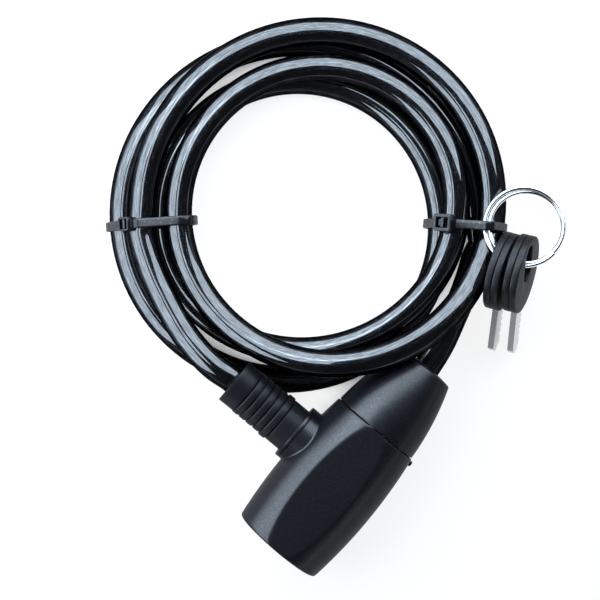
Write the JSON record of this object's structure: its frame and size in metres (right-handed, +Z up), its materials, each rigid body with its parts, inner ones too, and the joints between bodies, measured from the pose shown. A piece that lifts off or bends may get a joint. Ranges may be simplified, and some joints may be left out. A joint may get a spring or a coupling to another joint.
{
  "type": "coiled cable lock",
  "caption": "Keyed cable lock: barrel housing with plug-in cap and rubber boot, coiled sleeved steel cable held by ties, split ring and keys.",
  "frame": {"origin": "middle of the barrel's lower facet, on which it lies, below the point where the barrel is widest", "axes": "+Y along the barrel's axis, towards the cap; -X along the neck that the boot leaves from; +Z up, at right angles to the facets"},
  "size_m": [0.1639, 0.1736, 0.0373],
  "materials": {
    "textured_plastic": "fine spark-eroded grain",
    "boot_rubber": "matte",
    "cable_sleeve": "glossy clear sleeve over black braid",
    "tie_plastic": "semi-gloss nylon",
    "cast_zinc": "die-cast, satin",
    "steel": "satin",
    "brass": "machined",
    "chrome": "bright plated"
  },
  "bodies": {
    "lock_body": {"housing_shell": "textured_plastic", "lock_core": "cast_zinc", "boot": "boot_rubber", "neck_ferrule": "steel", "neck_pin": "steel", "neck_rope_end": "steel", "cable_to_boot": "cable_sleeve", "latch_spring": "steel"},
    "plug": {"cylinder_plug": "brass", "plug_clip": "steel"},
    "wafer_1_body": {"wafer_1": "brass"},
    "wafer_2_body": {"wafer_2": "brass"},
    "wafer_3_body": {"wafer_3": "brass"},
    "wafer_4_body": {"wafer_4": "brass"},
    "wafer_5_body": {"wafer_5": "brass"},
    "latch_body": {"latch": "steel"},
    "cable_side": {"cap_shell": "textured_plastic", "bolt_carrier": "cast_zinc", "locking_bolt": "steel", "bolt_pin": "steel", "cap_ferrule": "steel", "cap_pin": "steel", "cap_rope_end": "steel", "cable_coil": "cable_sleeve", "cable_to_cap": "cable_sleeve", "tie_left": "tie_plastic", "tie_right": "tie_plastic"},
    "ring": {"split_ring": "chrome"},
    "key_1": {"key_1_head": "textured_plastic", "key_1_blade": "steel"},
    "key_2": {"key_2_head": "textured_plastic", "key_2_blade": "steel"}
  },
  "joints": [
    {"name": "bolt_draw", "type": "slide", "parent": "lock_body", "child": "cable_side", "axis": [0, 1, 0], "range_m": [0, 0.034]},
    {"name": "plug_turn", "type": "hinge", "parent": "lock_body", "child": "plug", "pos_m": [0, -0.02, 0.0169], "axis": [0, 1, 0], "range_deg": [0, 90]},
    {"name": "latch_slide", "type": "slide", "parent": "lock_body", "child": "latch_body", "axis": [0, 0, -1], "range_m": [0, 0.00241], "deforming": ["latch_spring"]},
    {"name": "wafer_1_slide", "type": "slide", "parent": "plug", "child": "wafer_1_body", "axis": [0, 0, 1], "range_m": [-0.0008, 0.0008]},
    {"name": "wafer_2_slide", "type": "slide", "parent": "plug", "child": "wafer_2_body", "axis": [0, 0, 1], "range_m": [-0.0008, 0.0008]},
    {"name": "wafer_3_slide", "type": "slide", "parent": "plug", "child": "wafer_3_body", "axis": [0, 0, 1], "range_m": [-0.0008, 0.0008]},
    {"name": "wafer_4_slide", "type": "slide", "parent": "plug", "child": "wafer_4_body", "axis": [0, 0, 1], "range_m": [-0.0008, 0.0008]},
    {"name": "wafer_5_slide", "type": "slide", "parent": "plug", "child": "wafer_5_body", "axis": [0, 0, 1], "range_m": [-0.0008, 0.0008]},
    {"name": "ring_swing", "type": "hinge", "parent": "cable_side", "child": "ring", "pos_m": [-0.01663, 0.11031, 0.0245], "axis": [0.6393, -0.7618, 0.1045], "range_deg": [0, 40]},
    {"name": "key_1_swing", "type": "hinge", "parent": "ring", "child": "key_1", "pos_m": [-0.00477, 0.10593, 0.02568], "axis": [-0.8671, -0.377, -0.3256], "range_deg": [0, 40]},
    {"name": "key_2_swing", "type": "hinge", "parent": "ring", "child": "key_2", "pos_m": [0.00107, 0.10812, 0.02601], "axis": [-0.8534, -0.4071, -0.3256], "range_deg": [0, 40]}
  ],
  "couplings": [
    {"joint": "latch_slide", "follows": "plug_turn", "m_per_rad": 0.0015306}
  ]
}
